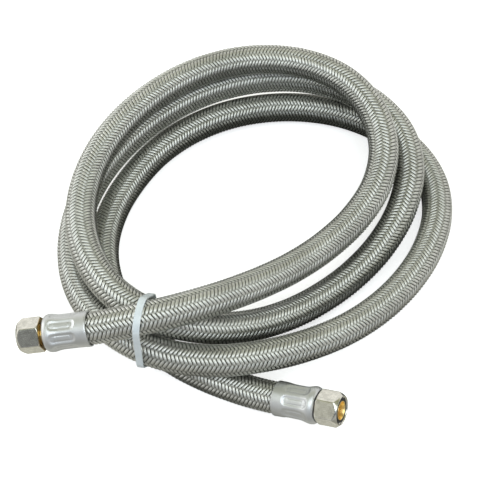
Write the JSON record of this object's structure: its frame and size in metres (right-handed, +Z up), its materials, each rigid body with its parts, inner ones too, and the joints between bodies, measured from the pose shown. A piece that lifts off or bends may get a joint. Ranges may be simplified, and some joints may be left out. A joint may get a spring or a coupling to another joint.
{
  "type": "dishwasher supply line",
  "caption": "Braided stainless water supply hose with a swivel nut on each end, coiled in loops and held by a cable tie.",
  "frame": {"origin": "middle of the coil's footprint, on the floor it lies on", "axes": "+X to the right of the coil as it lies with both ends at the front, +Y towards the far side of the loops, +Z up"},
  "size_m": [0.2284, 0.2332, 0.0585],
  "materials": {
    "braid": "woven fine wire, satin",
    "tubing": "smooth extruded polymer tube",
    "ferrule": "bright pressed stainless steel",
    "brass": "turned, clean",
    "nut": "satin nickel plate on brass, fine machining marks",
    "rubber": "matte",
    "nylon": "natural nylon, slightly translucent"
  },
  "bodies": {
    "hose": {"braid_sleeve": "braid", "inner_tube": "tubing", "ferrule_a": "ferrule", "stem_a": "brass", "cone_washer_a": "rubber", "ferrule_b": "ferrule", "stem_b": "brass", "cone_washer_b": "rubber", "cable_tie": "nylon"},
    "nut_a": {"nut_a": "nut"},
    "nut_b": {"nut_b": "nut"}
  },
  "joints": [
    {"name": "nut_a_spin", "type": "hinge", "parent": "hose", "child": "nut_a", "pos_m": [-0.09912, -0.07544, 0.039], "axis": [-0.9704, 0.0156, -0.241], "continuous": true},
    {"name": "nut_b_spin", "type": "hinge", "parent": "hose", "child": "nut_b", "pos_m": [0.0366, -0.10504, 0.01832], "axis": [0.8967, -0.3493, 0.2718], "continuous": true}
  ]
}
